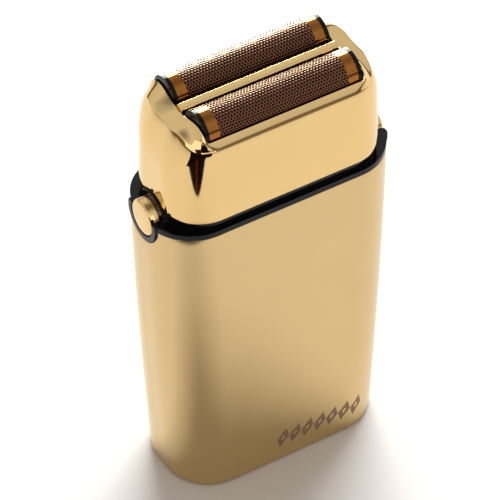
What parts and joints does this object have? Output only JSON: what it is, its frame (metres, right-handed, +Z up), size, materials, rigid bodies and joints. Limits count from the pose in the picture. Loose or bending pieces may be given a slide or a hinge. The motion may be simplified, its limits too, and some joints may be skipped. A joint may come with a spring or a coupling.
{
  "type": "foil shaver",
  "caption": "Cordless pocket foil shaver with a tapered gold metal body, a black collar, round release buttons and a lift-off head that holds floating arched foils.",
  "frame": {"origin": "centre of the base's lower face, on the axis of the charging socket", "axes": "+Z up through the head, X along the foils, +Y towards the power slider"},
  "size_m": [0.0622, 0.0296, 0.1164],
  "materials": {
    "satin_gold": "satin, finely brushed",
    "mirror_gold": "mirror polished",
    "titanium_gold": "titanium-gold coated, semi-gloss",
    "gloss_black": "high gloss",
    "satin_black": "satin moulded",
    "seal_rubber": "matt",
    "steel": "machined",
    "white_resin": "satin moulded",
    "contact_metal": "plated",
    "cell_wrap": "heat-shrunk sleeve",
    "circuit_board": "solder resist",
    "wire_red": "insulation",
    "wire_black": "insulation",
    "clear_lens": "frosted clear plastic"
  },
  "bodies": {
    "handle": {"body_shell": "satin_gold", "base_cap": "satin_black", "base_screws": "steel", "charge_jack": "satin_black", "jack_pin": "contact_metal", "top_collar": "gloss_black", "collar_screws": "steel", "neck_seal": "seal_rubber", "post_seal_front": "seal_rubber", "post_seal_rear": "seal_rubber", "button_spring_left": "steel", "button_spring_right": "steel", "bridge_leaves_front": "steel", "bridge_leaves_rear": "steel", "motor_can": "steel", "motor_end_cap": "white_resin", "motor_terminals": "contact_metal", "motor_mount": "satin_black", "motor_screws": "steel", "chassis": "satin_black", "battery_cell": "cell_wrap", "battery_tabs": "contact_metal", "battery_leads": "wire_red", "motor_leads": "wire_black", "main_pcb": "circuit_board", "pcb_chips": "satin_black", "power_inductor": "satin_black", "slide_switch": "steel", "slider_track": "satin_black", "status_led": "white_resin", "status_lens": "clear_lens"},
    "rotor": {"eccentric_cam": "white_resin", "motor_shaft": "steel"},
    "drive_front": {"drive_bridge_front": "white_resin", "cutter_spring_front": "steel"},
    "drive_rear": {"drive_bridge_rear": "white_resin", "cutter_spring_rear": "steel"},
    "cutter_front": {"cutter_blades_front": "steel", "cutter_holder_front": "satin_black"},
    "cutter_rear": {"cutter_blades_rear": "steel", "cutter_holder_rear": "satin_black"},
    "head": {"head_frame": "mirror_gold", "head_liner": "satin_black", "divider_bar": "mirror_gold"},
    "foil_unit_front": {"foil_front": "titanium_gold", "foil_carrier_front": "gloss_black"},
    "foil_unit_rear": {"foil_rear": "titanium_gold", "foil_carrier_rear": "gloss_black"},
    "left_button": {"release_button_left": "mirror_gold", "latch_left": "satin_black"},
    "right_button": {"release_button_right": "mirror_gold", "latch_right": "satin_black"},
    "slider": {"power_slider": "gloss_black"}
  },
  "joints": [
    {"name": "head_lift", "type": "slide", "parent": "handle", "child": "head", "axis": [0, 0, 1], "range_m": [0, 0.035]},
    {"name": "foil_front_float", "type": "slide", "parent": "head", "child": "foil_unit_front", "axis": [0, 0, -1], "range_m": [0, 0.001], "stiffness_N_per_m": 400, "springref_m": -0.001},
    {"name": "foil_rear_float", "type": "slide", "parent": "head", "child": "foil_unit_rear", "axis": [0, 0, -1], "range_m": [0, 0.001], "stiffness_N_per_m": 400, "springref_m": -0.001},
    {"name": "drive_front_stroke", "type": "slide", "parent": "handle", "child": "drive_front", "axis": [1, 0, 0], "range_m": [-0.0012, 0.0012], "stiffness_N_per_m": 300, "deforming": ["bridge_leaves_front", "bridge_leaves_rear"]},
    {"name": "drive_rear_stroke", "type": "slide", "parent": "handle", "child": "drive_rear", "axis": [1, 0, 0], "range_m": [-0.0012, 0.0012]},
    {"name": "cutter_front_float", "type": "slide", "parent": "drive_front", "child": "cutter_front", "axis": [0, 0, -1], "range_m": [0, 0.001], "deforming": ["cutter_spring_front"]},
    {"name": "cutter_rear_float", "type": "slide", "parent": "drive_rear", "child": "cutter_rear", "axis": [0, 0, -1], "range_m": [0, 0.001], "deforming": ["cutter_spring_rear"]},
    {"name": "motor_spin", "type": "hinge", "parent": "handle", "child": "rotor", "pos_m": [0, 0, 0.0775], "axis": [0, 0, 1], "continuous": true},
    {"name": "release_left_press", "type": "slide", "parent": "handle", "child": "left_button", "axis": [1, 0, 0], "range_m": [0, 0.0015], "stiffness_N_per_m": 600, "springref_m": -0.001, "deforming": ["button_spring_left"]},
    {"name": "release_right_press", "type": "slide", "parent": "handle", "child": "right_button", "axis": [-1, 0, 0], "range_m": [0, 0.0015], "stiffness_N_per_m": 600, "springref_m": -0.001, "deforming": ["button_spring_right"]},
    {"name": "power_slide", "type": "slide", "parent": "handle", "child": "slider", "axis": [0, 0, 1], "range_m": [0, 0.005]}
  ],
  "couplings": [
    {"joint": "drive_rear_stroke", "follows": "drive_front_stroke", "ratio": -1},
    {"joint": "cutter_front_float", "follows": "foil_front_float", "ratio": 1},
    {"joint": "cutter_rear_float", "follows": "foil_rear_float", "ratio": 1}
  ]
}
